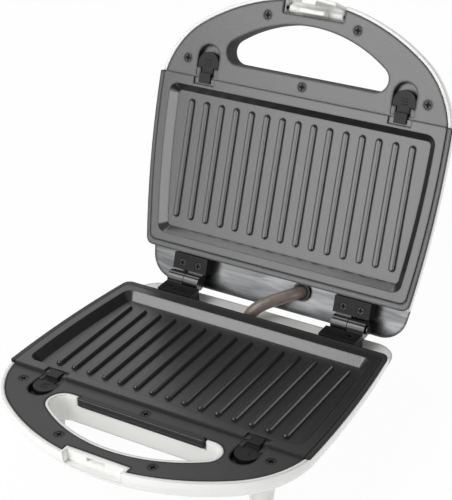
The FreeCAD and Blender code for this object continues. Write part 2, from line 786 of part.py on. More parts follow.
def base_features():
    """Hand tunnel, catch block, legs and the openings that only the base has."""
    tunnel = prism("base_tunnel", DECK + " - handle_lip_drop", "shell_depth", handle_outline, "handle_wall")
    catch = block("base_catch", "-catch_half - shell_wall", "catch_half + shell_wall", "-front_reach",
                  "-catch_face + catch_wall", DECK + " - catch_drop - catch_wall", DECK)
    legs = []
    for index, (x, y) in enumerate(FEET):
        leg = doc.addObject("Part::Cone", "base_leg_%d" % index)
        bind(leg, Radius1="leg_radius", Radius2="leg_top_radius",
             Height="shell_depth + leg_height - leg_top_drop")
        legs.append(at(leg, x, y, BOTTOM + " - leg_height"))
    grip_end = "grip_half + (grip_height + grip_rise) / 4 + handle_gap"
    openings = [
        prism("base_hand", ABOVE, "shell_depth + 2 * overrun", handle_outline, "0"),
        block("base_grip_seat", "-(%s)" % grip_end, grip_end, "-handle_rear - overrun",
              "-handle_rear + handle_wall", DECK + " - grip_height - handle_gap", ABOVE),
        block("base_catch_recess", "-catch_half", "catch_half", "-front_reach - overrun", "-catch_face",
              DECK + " - catch_drop", ABOVE),
        block("base_catch_slot", "-clip_hook_half - catch_slot_gap", "clip_hook_half + catch_slot_gap", "-front_reach",
              "-catch_face + catch_slot_depth", "deck_drop - clip_reach_down - clip_hook_gap",
              "deck_drop - clip_reach_down + clip_hook_height + clip_hook_gap"),
        rear_rod("base_gland_hole", "gland_radius + gland_gap", "gland_side", "-gland_inner_reach - overrun",
                 "rear_overhang + overrun", DECK + " - gland_drop")]
    for index, (x, y) in enumerate(FEET):
        openings.append(rod("base_foot_seat_%d" % index, "foot_radius + foot_gap", x, y,
                            BOTTOM + " - foot_height", BOTTOM + " - foot_height + foot_thickness"))
    return [tunnel, catch], openings, legs


def lid_features():
    """Clip well and the openings that only the lid has."""
    well_half = "clip_half + clip_side_gap"
    well = block("lid_clip_block", "-(%s + shell_wall)" % well_half, well_half + " + shell_wall", "-front_reach", "-clip_well + shell_wall",
                 DECK + " - clip_well_drop - shell_wall", UNDER_DECK)
    openings = [
        prism("lid_hand", ABOVE, "shell_depth + 2 * overrun", handle_outline, HANDLE_SEAT),
        block("lid_clip_recess", "-clip_half - clip_side_gap", well_half, "-front_reach - overrun",
              "-clip_well", DECK + " - clip_well_drop", ABOVE),
        cross_rod("lid_clip_pin_hole", "clip_pin_radius + pin_clearance", "-(%s + shell_wall)" % well_half,
                  well_half + " + shell_wall", "-clip_pivot_reach", DECK + " - clip_pivot_drop")]
    for sign in (-1, 1):
        openings.append(rod("lid_lamp_hole_%d" % sign, "lamp_radius + lamp_gap", side(sign, "lamp_side"),
                            "-lamp_reach", BOTTOM + " - overrun", BOTTOM + " + overrun"))
    return [well], openings, []


# Frames: dark deck with a raised border round the plate


def frame(half, form):
    """Deck and border of one half, cut for plate, hand, levers, screws and catch."""
    solids = [
        prism(half + "_deck", DECK, "deck_thickness", shell_outline, "deck_inset", "-border_rear",
              "border_corner"),
        prism(half + "_border", DECK + " + border_rise", "border_rise", plate_outline, "0",
              "-border_rear", "-plate_front", "border_corner", "end_corner")]
    cuts = [
        prism(half + "_well", ABOVE, "overrun", plate_outline, "border_width",
              "-plate_rear + plate_gap", "-plate_front - overrun", "plate_corner", "end_corner"),
        prism(half + "_aperture", ABOVE, "2 * overrun + deck_thickness", plate_outline,
              DISH_INSET + " - plate_wall - dish_clearance",
              "-plate_rear - rim_width + plate_wall + dish_clearance",
              "-plate_front + rim_front_width - plate_wall - dish_clearance", "dish_corner", "dish_corner")]
    for sign in (-1, 1):
        x = side(sign, "lever_side")
        tag = "%s_lever_%d" % (half, sign)
        solids.append(prism(tag + "_cup", DECK, "lever_pocket_drop + lever_cup_wall", finger_slot, x,
                            "lever_half + lever_cup_wall", "-lever_rear + lever_cup_wall",
                            "-lever_front - lever_cup_wall"))
        cuts.append(prism(tag + "_pocket", ABOVE, "overrun + lever_pocket_drop", finger_slot, x,
                          "lever_half", "-lever_rear", "-lever_front"))
    for index, (x, y) in enumerate(DECK_SCREWS):
        tag = "%s_screw_%d" % (half, index)
        cuts.append(rod(tag + "_sink", "screw_head + screw_gap", x, y, DECK + " - screw_sink", ABOVE))
        cuts.append(rod(tag + "_hole", "screw_shank + screw_gap", x, y, UNDER_DECK + " - overrun", ABOVE))
    if half == "base":
        cuts.append(prism("base_deck_hand", ABOVE, "2 * overrun + deck_thickness", handle_outline,
                          HANDLE_SEAT))
        notch = "catch_half + shell_wall + seam_gap"
        cuts.append(block("base_deck_notch", "-(%s)" % notch, notch, "-front_reach - overrun",
                          "-catch_face + catch_wall + seam_gap", UNDER_DECK + " - overrun", ABOVE))
        additions = [grip()]
    else:
        cuts.append(prism("lid_deck_hand", ABOVE, "shell_depth + 2 * overrun", handle_outline, "0"))
        cuts.append(block("lid_deck_notch", "-clip_half - clip_side_gap", "clip_half + clip_side_gap",
                          "-front_reach - overrun", "-clip_well", UNDER_DECK + " - overrun", ABOVE))
        liner = prism("lid_liner_solid", DECK, "shell_depth + overrun", handle_outline, "handle_wall")
        solids.append(common("lid_liner", form, liner))
        additions = []
    guides = []
    for sign in (-1, 1):
        for edge in (-1, 1):
            near, far = span(edge, "lever_guide_half", "lever_half")
            x = side(sign, "lever_side")
            guides.append(block("%s_guide_%d_%d" % (half, sign, edge), "%s + (%s)" % (x, near),
                                "%s + (%s)" % (x, far), "-lever_guide_front", "-lever_rear",
                                DECK + " - lever_pocket_drop", DECK + " - lever_sink"))
    deck = cut(half + "_cut_deck", fuse(half + "_deck_solids", solids), cuts)
    keep(half + "_frame", fuse(half + "_frame", [deck] + guides + additions), POSES[half])


def grip():
    """Lip along the rear edge of the base's hand opening, with two rounded ridges."""
    top, bottom, radius = DECK + " + grip_rise", DECK + " - grip_height", "(grip_height + grip_rise) / 4"
    solids = [block("base_grip_bar", "-grip_half", "grip_half", "-handle_rear - grip_back",
                    "-handle_rear + handle_wall + handle_gap", bottom, top)]
    face = "-handle_rear - grip_depth + " + radius
    for tag, level in (("upper", "%s - %s" % (top, radius)), ("lower", "%s + %s" % (bottom, radius))):
        name = "base_grip_" + tag
        solids.append(cross_rod(name + "_ridge", radius, "-grip_half", "grip_half", face, level))
        for sign in (-1, 1):
            cap = doc.addObject("Part::Sphere", "%s_cap_%d" % (name, sign))
            solids.append(at(bind(cap, Radius=radius), side(sign, "grip_half"), face, level))
    return fuse("base_grip", solids)


# Grill plates: a dished casting with a flat rim and raised ribs


def dish_section(body, name, level, margin, corner):
    """Outline of the dish at one level, set in from the plate's edge by the rim and a margin."""
    sketch = sketch_on(body, name, level)
    plate_outline(sketch, "%s + %s" % (DISH_INSET, margin), "-plate_rear - rim_width - " + margin,
                  "-plate_front + rim_front_width + " + margin, corner, corner)
    return sketch


def rib_outline(sketch, x, half, rear, front):
    """Long slot with round ends."""
    across, width = number(x), number(half)
    back = FreeCAD.Vector(across, number(rear) - width, 0)
    fore = FreeCAD.Vector(across, number(front) + width, 0)
    out = FreeCAD.Vector(width, 0, 0)
    first = smooth_chain(sketch, [
        arc(back, width, back.add(out), back.sub(out)),
        Part.LineSegment(back.sub(out), fore.sub(out)),
        arc(fore, width, fore.sub(out), fore.add(out)),
        Part.LineSegment(fore.add(out), back.add(out))])
    pin(sketch, first, CENTRE, x, "%s - (%s)" % (rear, half))
    pin(sketch, first + 2, CENTRE, x, "%s + (%s)" % (front, half))
    for item in (first, first + 2):
        hold(sketch, Sketcher.Constraint("Radius", item, width), half)


def plate(half):
    body = new_body(half + "_plate_body")
    rim = sketch_on(body, half + "_rim", RIM_TOP)
    plate_outline(rim, PLATE_INSET, "-plate_rear", "-plate_front", "plate_corner", "end_corner")
    pad(body, rim, "rim_rise")
    loft(body, [dish_section(body, half + "_dish_top", DECK, "(0 - plate_wall)", "dish_corner"),
                dish_section(body, half + "_dish_bottom", DISH_UNDER, "(dish_run - plate_wall)", "dish_corner")],
         ruled=True)
    loft(body, [dish_section(body, half + "_hollow_top", RIM_TOP, "0", "dish_corner"),
                dish_section(body, half + "_hollow_floor", DISH_FLOOR, "dish_run", "dish_floor_corner")],
         True, "Subtractive")
    notches = sketch_on(body, half + "_notches", RIM_TOP)
    for sign in (-1, 1):
        x = side(sign, "lever_side")
        rectangle(notches, x + " - notch_half", x + " + notch_half", "-plate_front - overrun",
                  "-notch_reach")
    pocket(body, notches, "rim_rise - notch_ledge")
    first_rib = "-rib_pitch * (rib_count - 1) / 2"
    rib_wall = "(rib_height - rib_crown)"
    lean = "(%s * tan(rib_draft_angle))" % rib_wall
    rib = sketch_on(body, half + "_rib", DISH_FLOOR)
    rib_outline(rib, first_rib, "rib_width / 2", "-rib_start", "-rib_end")
    rib_pad = pad(body, rib, rib_wall, down=False)
    bind(rib_pad, TaperAngle="-rib_draft_angle")
    crown = sketch_on(body, half + "_rib_crown", "%s + %s" % (DISH_FLOOR, rib_wall))
    rib_outline(crown, first_rib, "rib_width / 2 - " + lean, "-rib_start - " + lean, "-rib_end + " + lean)
    crown_pad = pad(body, crown, "rib_crown", down=False)
    bind(crown_pad, TaperAngle="-rib_crown_angle")
    doc.recompute()
    ribs = body.newObject("PartDesign::LinearPattern", half + "_ribs")
    ribs.Originals = [rib_pad, crown_pad]
    ribs.Direction = (rib, ["H_Axis"])
    bind(ribs, Length="rib_pitch * (rib_count - 1)", Occurrences="rib_count")
    body.Tip = ribs
    keep(half + "_plate", body, POSES[half])


# Fasteners


def screw(name, x, y, head_top, head, shank, length):
    """Pan-head screw with a cross drive, standing head up."""
    seat = "%s - screw_head_rise" % head_top
    solid = fuse(name + "_blank", [
        rod(name + "_head", head, x, y, seat, head_top),
        rod(name + "_shank", shank, x, y, "%s - (%s)" % (seat, length), seat)])
    arm = "%s / 2 + screw_drive" % head
    drive = [
        block(name + "_drive_x", "%s - (%s)" % (x, arm), "%s + %s" % (x, arm), "%s - screw_drive" % y,
              "%s + screw_drive" % y, "%s - screw_drive_depth" % head_top, "%s + overrun" % head_top),
        block(name + "_drive_y", "%s - screw_drive" % x, "%s + screw_drive" % x, "%s - (%s)" % (y, arm),
              "%s + %s" % (y, arm), "%s - screw_drive_depth" % head_top, "%s + overrun" % head_top)]
    return cut(name, solid, drive)


def screws(half):
    head_top = DECK + " - screw_sink + screw_head_rise"
    deck = [screw("%s_deck_screw_%d" % (half, index), x, y, head_top, "screw_head", "screw_shank",
                  "screw_length") for index, (x, y) in enumerate(DECK_SCREWS)]
    keep(half + "_deck_screws", group(half + "_deck_screws", deck), POSES[half])
    head_top = LEAF_TOP + " - screw_sink + screw_head_rise"
    length = "shelf_drop + deck_drop - leaf_top_gap - screw_sink + leaf_screw_tail"
    leaf = [screw("%s_leaf_screw_%d" % (half, index), x, "-leaf_screw_reach", head_top, "leaf_screw_head",
                  "leaf_screw_shank", length) for index, x in enumerate(leaf_screw_places(half))]
    keep(half + "_hinge_screws", group(half + "_hinge_screws", leaf), POSES[half])


# Hinges: a block on each shelf with a knuckle on the common axis


def hinge_leaf(half, name, sign):
    near, far = ("knuckle_split", "knuckle_outer")
    if half == "lid":
        near, far = ("knuckle_inner", "knuckle_split - knuckle_gap")
    left, right = span(sign, near, far)
    leaf_left, leaf_right = span(sign, "leaf_side - leaf_width / 2", "leaf_side + leaf_width / 2")
    solid = fuse(name + "_blank", [
        block(name + "_block", leaf_left, leaf_right, "-leaf_front", "-leaf_rear", SHELF, LEAF_TOP),
        block(name + "_web", left, right, "-leaf_front", "0", "-knuckle_radius", LEAF_TOP),
        cross_rod(name + "_knuckle", "knuckle_radius", left, right, "0", "0")])
    cuts = [cross_rod(name + "_bore", "pin_radius + pin_clearance", "%s - overrun" % left,
                      "%s + overrun" % right, "0", "0")]
    for index, x in enumerate(leaf_screw_places(half)):
        if number(x) * sign > 0:
            cuts.append(rod("%s_sink_%d" % (name, index), "leaf_screw_head + screw_gap", x,
                            "-leaf_screw_reach", LEAF_TOP + " - screw_sink", LEAF_TOP + " + overrun"))
            cuts.append(rod("%s_hole_%d" % (name, index), "leaf_screw_shank + screw_gap", x,
                            "-leaf_screw_reach", SHELF + " - overrun", LEAF_TOP + " + overrun"))
    keep(name, cut(name, solid, cuts), POSES[half])


def hinge_pin(name, sign):
    left, right = span(sign, "knuckle_inner", "knuckle_outer + knuckle_gap")
    head_left, head_right = span(sign, "knuckle_outer + knuckle_gap",
                                 "knuckle_outer + knuckle_gap + pin_head_length")
    solid = fuse(name, [
        cross_rod(name + "_shank", "pin_radius", left, right, "0", "0"),
        cross_rod(name + "_head", "pin_head", head_left, head_right, "0", "0")])
    keep(name, solid, BASE_POSE)


# Plate release levers: a thumb button whose tongue holds the plate's front edge


def lever(half, name, sign):
    x = side(sign, "lever_side")
    top = DECK + " - lever_sink"
    bottom = DECK + " - lever_pocket_drop + lever_gap"
    nose = "-lever_front + lever_gap + lever_travel"
    tongue_bottom = DECK + " + notch_ledge + lever_gap"
    tongue_top = tongue_bottom + " + lever_tongue_height"
    left, right = x + " - lever_tongue_half", x + " + lever_tongue_half"
    solid = fuse(name, [
        prism(name + "_button", top, "lever_pocket_drop - lever_gap - lever_sink", finger_slot, x,
              "lever_half - lever_gap", "-lever_guide_front - lever_gap", nose),
        block(name + "_neck", left, right, nose + " + lever_half", "-lever_rear - lever_gap", bottom, top),
        block(name + "_riser", left, right, "-lever_rear - lever_gap - lever_tongue_height * 2",
              "-lever_rear - lever_gap", bottom, tongue_top),
        block(name + "_tongue", left, right, "-lever_rear - lever_gap - lever_tongue_height",
              "-lever_tongue_reach", tongue_bottom, tongue_top)])
    keep(name, solid, POSES[half])


# Latch clip: a curved plate on a pin in the lid's front edge, hooking under the catch slot


def clip():
    pivot_y, pivot_z = "-clip_pivot_reach", DECK + " - clip_pivot_drop"
    outer = doc.addObject("Part::Cylinder", "clip_outer_round")
    bind(outer, Radius="front_radius - clip_inset", Height="clip_top_drop + clip_reach_down")
    at(outer, "0", "-front_reach + front_radius", DECK + " - clip_top_drop")
    inner = doc.addObject("Part::Cylinder", "clip_inner_round")
    bind(inner, Radius="front_radius - clip_inset - clip_wall", Height="clip_top_drop + clip_reach_down")
    at(inner, "0", "-front_reach + front_radius", DECK + " - clip_top_drop")
    window = block("clip_window", "-clip_half", "clip_half", "-front_reach", "-clip_pivot_reach",
                   DECK + " - clip_top_drop", DECK + " + clip_reach_down")
    wall = common("clip_plate", cut("clip_ring", outer, [inner]), window)
    wall_face = "-front_reach + clip_inset + clip_wall"
    web = block("clip_web_plate", "-clip_tab_half * 2", "clip_tab_half * 2", wall_face, pivot_y,
                DECK + " - clip_top_drop", DECK + " - clip_top_drop + clip_web")
    hook = block("clip_hook", "-clip_hook_half", "clip_hook_half", wall_face, wall_face + " + clip_hook_reach",
                 DECK + " + clip_reach_down - clip_hook_height", DECK + " + clip_reach_down")
    tab = block("clip_tab", "-clip_tab_half", "clip_tab_half", "-clip_tab_front", "-clip_tab_rear",
                pivot_z, DECK + " + clip_tab_rise")
    barrel = cross_rod("clip_barrel_round", "clip_barrel", "-clip_half", "clip_half", pivot_y, pivot_z)
    bore = cross_rod("clip_bore", "clip_pin_radius + pin_clearance", "-clip_half - overrun",
                     "clip_half + overrun", pivot_y, pivot_z)
    solid = cut("latch_clip", fuse("clip_solids", [wall, web, hook, tab, barrel]), [bore])
    pivot = FreeCAD.Vector(0, number(pivot_y), number(pivot_z))
    swing = FreeCAD.Placement(FreeCAD.Vector(), FreeCAD.Rotation(FreeCAD.Vector(1, 0, 0), sheet.clip_rest_angle),
                              pivot)
    keep("latch_clip", solid, LID_POSE.multiply(swing))
    end = "clip_half + clip_side_gap + shell_wall"
    pin_bar = cross_rod("clip_pin_bar", "clip_pin_radius", "-(%s)" % end, end, pivot_y, pivot_z)
    keep("clip_pin", group("clip_pin", [pin_bar]), LID_POSE)


# Heating: a bent tube between the plate and a reflector tray


def bent_tube(points, bends, radius):
    """Round bar along straight runs joined by arcs that touch both runs."""
    edges = []
    start = points[0]
    for before, corner, after, bend in zip(points, points[1:], points[2:], bends):
        back, ahead = towards(corner, before, 1), towards(corner, after, 1)
        back, ahead = back.sub(corner), ahead.sub(corner)
        half_turn = (math.pi - back.getAngle(ahead)) / 2
        reach = bend * math.tan(half_turn)
        first, last = towards(corner, before, reach), towards(corner, after, reach)
        middle = corner.add(back.add(ahead).normalize().multiply(bend / math.cos(half_turn) - bend))
        edges.append(Part.LineSegment(start, first).toShape())
        edges.append(Part.Arc(first, middle, last).toShape())
        start = last
    edges.append(Part.LineSegment(start, points[-1]).toShape())
    path = Part.Wire(edges)
    section = Part.Wire(Part.Circle(points[0], points[1].sub(points[0]), radius).toShape())
    tube = path.makePipeShell([section], True, False)
    share = tube.Volume / (math.pi * radius ** 2 * path.Length)
    print("tube length %.1f, volume against section times length %.4f" % (path.Length, share))
    return tube


def heater(half):
    level = number(HEATER_AXIS)
    corners = (("heater_tail_side", "heater_tail_reach"), ("heater_tail_side", "heater_rear"),
               ("heater_side", "heater_rear"), ("heater_side", "heater_front"))
    right = [FreeCAD.Vector(number(x), -number(reach), level) for x, reach in corners]
    left = [mirrored(point).add(UP * level) for point in reversed(right)]
    points = right + left
    item = doc.addObject("Part::Feature", half + "_heater")
    item.Shape = bent_tube(points, [sheet.heater_bend] * len(points[1:-1]), sheet.heater_radius)
    keep(half + "_heater", item, POSES[half])


def reflector(half):
    inset = PLATE_INSET + " + tray_inset"
    outer = prism(half + "_tray_outer", TRAY_UNDER + " + tray_height", "tray_height", plate_outline, inset,
                  "-plate_rear - tray_inset", "-plate_front + tray_inset", "tray_corner", "tray_corner")
    inner = prism(half + "_tray_inner", TRAY_UNDER + " + tray_height + overrun",
                  "tray_height + overrun - tray_wall", plate_outline, inset + " + tray_wall",
                  "-plate_rear - tray_inset - tray_wall", "-plate_front + tray_inset + tray_wall",
                  "tray_corner - tray_wall", "tray_corner - tray_wall")
    tail_half = "heater_tail_side + heater_radius + heater_gap"
    gate = block(half + "_tray_gate", "-(%s)" % tail_half, tail_half, "-plate_rear - tray_inset - overrun",
                 "-plate_rear - tray_inset + overrun", TRAY_TOP, TRAY_UNDER + " + tray_height + overrun")
    keep(half + "_reflector", cut(half + "_reflector", outer, [inner, gate]), POSES[half])


def thermostat(half, name):
    """Round bimetal switch with two fixing ears, held under the reflector."""
    solid = fuse(name, [
        rod(name + "_case", "thermostat_radius", "0", "-thermostat_reach", TRAY_UNDER + " - thermostat_height",
            TRAY_UNDER),
        block(name + "_ears", "-thermostat_ear", "thermostat_ear", "-thermostat_reach - thermostat_ear_half",
              "-thermostat_reach + thermostat_ear_half", TRAY_UNDER + " - thermostat_ear_height", TRAY_UNDER)])
    keep(name, solid, POSES[half])


def terminal_block():
    half_length = "terminal_length / 2"
    case = block("terminal_case", "terminal_side - " + half_length, "terminal_side + " + half_length,
                 "-terminal_reach - terminal_width / 2", "-terminal_reach + terminal_width / 2",
                 TRAY_UNDER + " - terminal_height", TRAY_UNDER)
    wells = []
    for index in range(sheet.terminal_way_count):
        x = "terminal_side + terminal_length * (%d - (terminal_way_count - 1) / 2) / terminal_way_count" % index
        wells.append(rod("terminal_well_%d" % index, "terminal_screw", x, "-terminal_reach",
                         TRAY_UNDER + " - terminal_height - overrun", TRAY_UNDER + " - terminal_height / 2"))
    keep("base_terminal_block", cut("base_terminal_block", case, wells), BASE_POSE)


# Small fittings


def feet():
    pads = [rod("foot_%d" % index, "foot_radius", x, y, BOTTOM + " - foot_height",
                BOTTOM + " - foot_height + foot_thickness") for index, (x, y) in enumerate(FEET)]
    keep("base_feet", group("base_feet", pads), BASE_POSE)


def lamp(name, sign):
    """Pilot lamp lens, seated from inside with a flange."""
    x, y = side(sign, "lamp_side"), "-lamp_reach"
    inner_face = BOTTOM + " + shell_wall"
    solid = fuse(name, [
        rod(name + "_lens", "lamp_radius", x, y, BOTTOM + " - lamp_rise", inner_face + " + lamp_flange_height"),
        rod(name + "_flange", "lamp_flange", x, y, inner_face, inner_face + " + lamp_flange_height")])
    keep(name, solid, LID_POSE)


def gland():
    """Sleeve in the rear wall where the mains lead would enter."""
    level = DECK + " - gland_drop"
    sleeve = rear_rod("gland_sleeve", "gland_radius", "gland_side", "-gland_inner_reach",
                      "-gland_outer_reach", level)
    bore = rear_rod("gland_hole", "gland_bore", "gland_side", "-gland_inner_reach - overrun",
                    "-gland_outer_reach + overrun", level)
    keep("cord_gland", cut("cord_gland", sleeve, [bore]), BASE_POSE)


def lead_bush(half, name):
    """Sleeve in the hinge shelf that the bridge lead passes through."""
    x, y = lead_hole_place(half)
    bottom, top = SHELF + " - shell_wall - bush_rise", SHELF + " + bush_rise"
    sleeve = rod(name + "_sleeve", "lead_radius + lead_gap + bush_wall", x, y, bottom, top)
    bore = rod(name + "_bore", "lead_radius + lead_gap", x, y, bottom + " - overrun", top + " + overrun")
    keep(name, cut(name, sleeve, [bore]), POSES[half])


def bridge_lead():
    """Sleeved lead that carries power from the base to the lid, round the hinge axis."""
    lid_turn = BASE_POSE.inverse().multiply(LID_POSE)
    start_level = number(SHELF + " - shell_wall")
    base_x, base_y = number("-lead_base_side"), number("-lead_base_reach")
    lid_x, lid_y = number("-lead_lid_side"), number("-lead_lid_reach")
    points = [
        FreeCAD.Vector(base_x, base_y, start_level),
        FreeCAD.Vector(base_x, base_y, start_level + sheet.lead_rise),
        lid_turn.multVec(FreeCAD.Vector(lid_x, lid_y, start_level + sheet.lead_fall)),
        lid_turn.multVec(FreeCAD.Vector(lid_x, lid_y, start_level))]
    bends = []
    for before, corner, after in zip(points, points[1:], points[2:]):
        back, ahead = before.sub(corner), after.sub(corner)
        half_turn = (math.pi - back.getAngle(ahead)) / 2
        bends.append(sheet.lead_bend_share * min(back.Length, ahead.Length) / math.tan(half_turn))
    print("lead bend radii", [round(bend, 1) for bend in bends])
    item = doc.addObject("Part::Feature", "bridge_lead")
    item.Shape = bent_tube(points, bends, sheet.lead_radius)
    keep("bridge_lead", item, BASE_POSE)


# Assembly
for half in ("base", "lid"):
    form = bowl(half + "_form", "0", DECK, half + "_nose_depth")
    shell(half, form)
    frame(half, form)
    plate(half)
    screws(half)
    heater(half)
    reflector(half)
    lead_bush(half, half + "_lead_bush")
for hand, sign in (("left", -1), ("right", 1)):
    hinge_leaf("base", "base_hinge_" + hand, sign)
    hinge_leaf("lid", "lid_hinge_" + hand, -sign)
    hinge_pin("hinge_pin_" + hand, sign)
    lever("base", "base_lever_" + hand, sign)
    lever("lid", "lid_lever_" + hand, -sign)
thermostat("base", "base_thermostat")
thermostat("lid", "lid_thermal_cutout")
terminal_block()
clip()
feet()
lamp("lamp_red", 1)
lamp("lamp_green", -1)
gland()
bridge_lead()
doc.recompute()

# Every object has to be sound before anything is written
for item in doc.Objects:
    if "Invalid" in item.State or "Error" in item.State:
        raise RuntimeError("%s failed to build" % item.Name)
    if item.TypeId == "PartDesign::Pocket" and item.Shape.Volume >= item.BaseFeature.Shape.Volume:
        raise RuntimeError("%s cuts nothing" % item.Name)
for name, item in NODES.items():
    if item.Shape.isNull() or not item.Shape.isValid() or not item.Shape.Solids:
        raise RuntimeError("%s has no sound solid" % name)

os.makedirs("parts", exist_ok=True)
for name, item in NODES.items():
    item.Shape.exportStep("parts/%s.step" % name)
print(len(NODES), "sub-parts")
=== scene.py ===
import bpy
from mathutils import Matrix, Vector


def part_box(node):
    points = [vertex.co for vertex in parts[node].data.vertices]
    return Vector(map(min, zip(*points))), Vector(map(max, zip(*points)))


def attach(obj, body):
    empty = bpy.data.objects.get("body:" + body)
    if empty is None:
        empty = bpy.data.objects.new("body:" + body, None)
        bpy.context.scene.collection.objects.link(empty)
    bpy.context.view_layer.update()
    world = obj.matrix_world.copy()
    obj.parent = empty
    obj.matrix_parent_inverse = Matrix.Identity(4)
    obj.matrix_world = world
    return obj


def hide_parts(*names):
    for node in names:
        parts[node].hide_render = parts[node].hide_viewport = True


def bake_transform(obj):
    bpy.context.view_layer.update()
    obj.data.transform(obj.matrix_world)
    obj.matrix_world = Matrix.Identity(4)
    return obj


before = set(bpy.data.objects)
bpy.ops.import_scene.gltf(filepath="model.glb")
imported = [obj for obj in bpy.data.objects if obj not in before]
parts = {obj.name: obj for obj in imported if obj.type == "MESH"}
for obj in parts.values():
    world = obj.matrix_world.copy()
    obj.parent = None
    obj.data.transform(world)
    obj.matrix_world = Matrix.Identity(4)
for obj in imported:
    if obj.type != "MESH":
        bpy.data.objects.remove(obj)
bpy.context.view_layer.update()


# Shells: the two outer casings, injection-moulded in white ABS and left glossy from a polished tool.
# They carry everything else, and the base one stands on four legs moulded in one with it. The latch clip
# is drawn in the same plastic, and hangs on a pin at the lid's front edge.
def linear(code):
    """Linear colour of an sRGB hex code."""
    channels = [int(code[i:i + 2], 16) / 255 for i in (1, 3, 5)]
    return tuple(c / 12.92 if c <= 0.04045 else ((c + 0.055) / 1.055) ** 2.4 for c in channels) + (1.0,)


def add(material, kind, inputs, **settings):
    """Add one node; an input that is a socket is linked, and any other is set."""
    node = material.node_tree.nodes.new(kind)
    for name, value in settings.items():
        setattr(node, name, value)
    for name, value in inputs.items():
        if isinstance(value, bpy.types.NodeSocket):
            material.node_tree.links.new(value, node.inputs[name])
        else:
            node.inputs[name].default_value = value
    return node


def surface(name, **inputs):
    """Start a material with its shader's constant inputs."""
    material = bpy.data.materials.new(name)
    material.use_nodes = True
    shader = material.node_tree.nodes["Principled BSDF"]
    for socket, value in inputs.items():
        shader.inputs[socket.replace("_", " ")].default_value = value
    return material, shader


def feed(shader, **sockets):
    """Link finished patterns to a shader's inputs."""
    for name, socket in sockets.items():
        shader.id_data.links.new(socket, shader.inputs[name.replace("_", " ")])


def dress(material, *names):
    """Give CAD nodes their material."""
    for name in names:
        parts[name].data.materials.clear()
        parts[name].data.materials.append(material)


def two_tone(material, size, detail, dark, light):
    """Colour that wanders between two tones, in patches of about the given size in mm."""
    place = add(material, "ShaderNodeTexCoord", {}).outputs["Object"]
    patch = add(material, "ShaderNodeTexNoise", {"Vector": place, "Scale": 1000 / size, "Detail": detail})
    tones = {"Factor": patch.outputs["Fac"], 6: linear(dark), 7: linear(light)}
    return add(material, "ShaderNodeMix", tones, data_type="RGBA").outputs[2]


def relief(material, size, detail, strength, depth, edge):
    """Normal of a moulded face: edges shaded round, and a bump of about the given size in mm."""
    place = add(material, "ShaderNodeTexCoord", {}).outputs["Object"]
    pattern = add(material, "ShaderNodeTexNoise", {"Vector": place, "Scale": 1000 / size, "Detail": detail})
    rounded = add(material, "ShaderNodeBevel", {"Radius": edge}, samples=BEVEL_SAMPLES)
    bump = {"Height": pattern.outputs["Fac"], "Strength": strength, "Distance": depth,
            "Normal": rounded.outputs["Normal"]}
    return add(material, "ShaderNodeBump", bump).outputs["Normal"]


# Polished ABS shows soft, slightly wavy reflections: the ripple is faint and about 17 mm long, and the white
# wanders by a shade over about 55 mm.
BEVEL_SAMPLES = 6
ABS_IOR = 1.53
ABS_POLISH = 0.22
ABS_WHITES = ("#e9e9e6", "#f1f1ef")
CLOUD_MM = 55.5
RIPPLE_MM = 16.67
SHELL_EDGE = 0.0025
white_abs, shader = surface("glossy_white_abs", IOR=ABS_IOR, Roughness=ABS_POLISH)
feed(shader, Base_Color=two_tone(white_abs, CLOUD_MM, 2.0, *ABS_WHITES),
     Normal=relief(white_abs, RIPPLE_MM, detail=1.0, strength=0.06, depth=0.0006, edge=SHELL_EDGE))
dress(white_abs, "base_shell", "latch_clip")


# The lid's hinge shelf looks silver in the photograph. It is drawn as a metallic skin whose grey is painted
# shade, with streaks 50 mm long that are painted reflections; the real finish isn't known. The mask takes
# what lies behind the border and faces the base.
def middle(name):
    """Middle of a CAD node's box."""
    low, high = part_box(name)
    return (Vector(low) + Vector(high)) / 2


HINGE_LINE = middle("hinge_pin_left")
LID_UP = Vector((0.0, 0.322266, 0.946649))
LID_OUT = Vector((0.0, -0.946649, 0.322266))
SHELF_END = 0.0186
SHELF_FACING = 0.85
SHELF_POLISH = 0.28
STREAK_LENGTH_MM = 50.0
STREAK_WIDTH_MM = 7.353
lid_abs, shader = surface("white_abs_with_painted_shade_shelf", IOR=ABS_IOR)
source = add(lid_abs, "ShaderNodeTexCoord", {})
place = source.outputs["Object"]
white = two_tone(lid_abs, CLOUD_MM, 2.0, *ABS_WHITES)
streak_stretch = add(lid_abs, "ShaderNodeMapping", {
    "Vector": place, "Scale": (1000 / STREAK_LENGTH_MM, 1000 / STREAK_WIDTH_MM, 1000 / STREAK_WIDTH_MM)})
reflection_marks = add(lid_abs, "ShaderNodeTexNoise", {
    "Vector": streak_stretch.outputs["Vector"], "Scale": 1.0, "Detail": 4.0, "Distortion": 1.2})
painted_reflection_streak = add(lid_abs, "ShaderNodeMapRange", {
    "Value": reflection_marks.outputs["Fac"], "From Min": 0.35, "From Max": 0.68})
# Painted shade: the shelf's grey, with painted reflections in its lighter streaks.
painted_shade_grey = add(lid_abs, "ShaderNodeMix", {
    "Factor": painted_reflection_streak.outputs["Result"], 6: linear("#555657"), 7: linear("#7c7d7e")}, data_type="RGBA")
offset = add(lid_abs, "ShaderNodeVectorMath", {0: place, 1: HINGE_LINE}, operation="SUBTRACT")
reach = add(lid_abs, "ShaderNodeVectorMath", {
    0: offset.outputs["Vector"], 1: LID_UP}, operation="DOT_PRODUCT")
behind = add(lid_abs, "ShaderNodeMath", {0: reach.outputs["Value"], 1: SHELF_END}, operation="LESS_THAN")
facing = add(lid_abs, "ShaderNodeVectorMath", {
    0: source.outputs["Normal"], 1: LID_OUT - LID_UP}, operation="DOT_PRODUCT")
inner = add(lid_abs, "ShaderNodeMath", {
    0: facing.outputs["Value"], 1: SHELF_FACING}, operation="GREATER_THAN")
painted_shade_shelf = add(lid_abs, "ShaderNodeMath", {0: behind.outputs[0], 1: inner.outputs[0]}, operation="MULTIPLY")
